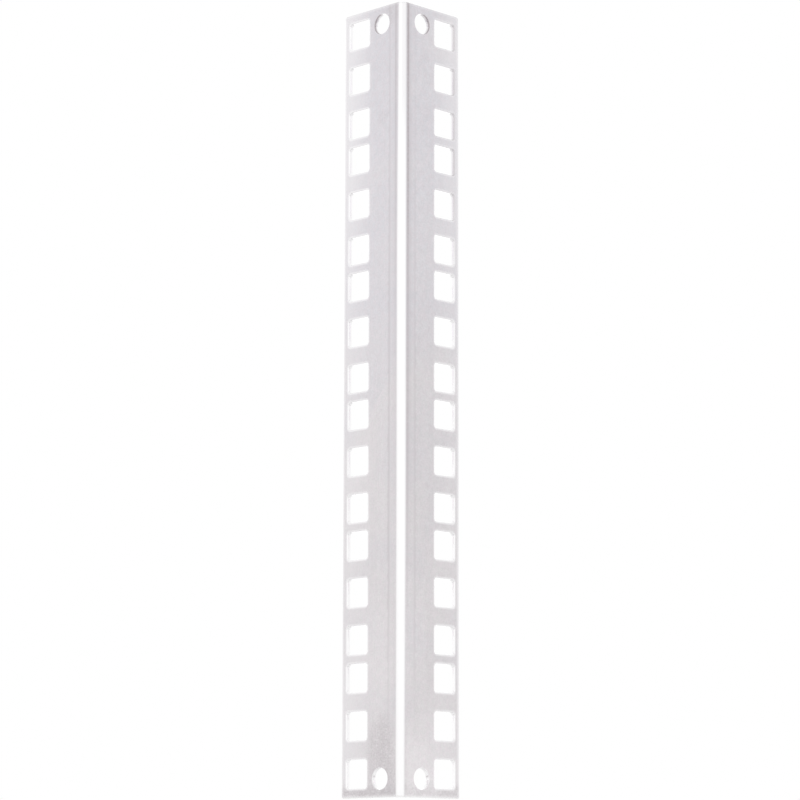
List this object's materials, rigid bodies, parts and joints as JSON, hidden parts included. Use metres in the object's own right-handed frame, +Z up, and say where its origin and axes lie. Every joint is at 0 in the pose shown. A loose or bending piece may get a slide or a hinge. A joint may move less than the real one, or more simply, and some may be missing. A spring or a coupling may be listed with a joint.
{
  "type": "rack mounting rail",
  "caption": "Upright angle of folded zinc-plated sheet steel with a column of square cage-nut holes in each flange and a round screw hole near each end.",
  "frame": {"origin": "on the outer face of the side flange, midway between its two round screw holes", "axes": "+Z up along the rail, -Y out of the front flange that carries equipment, -X out of the side flange that is screwed to the case"},
  "size_m": [0.028, 0.028, 0.27],
  "materials": {
    "zinc_plated_steel": "satin zinc plate with fine rolling grain"
  },
  "bodies": {
    "root": {"mounting_rail": "zinc_plated_steel"}
  },
  "joints": []
}
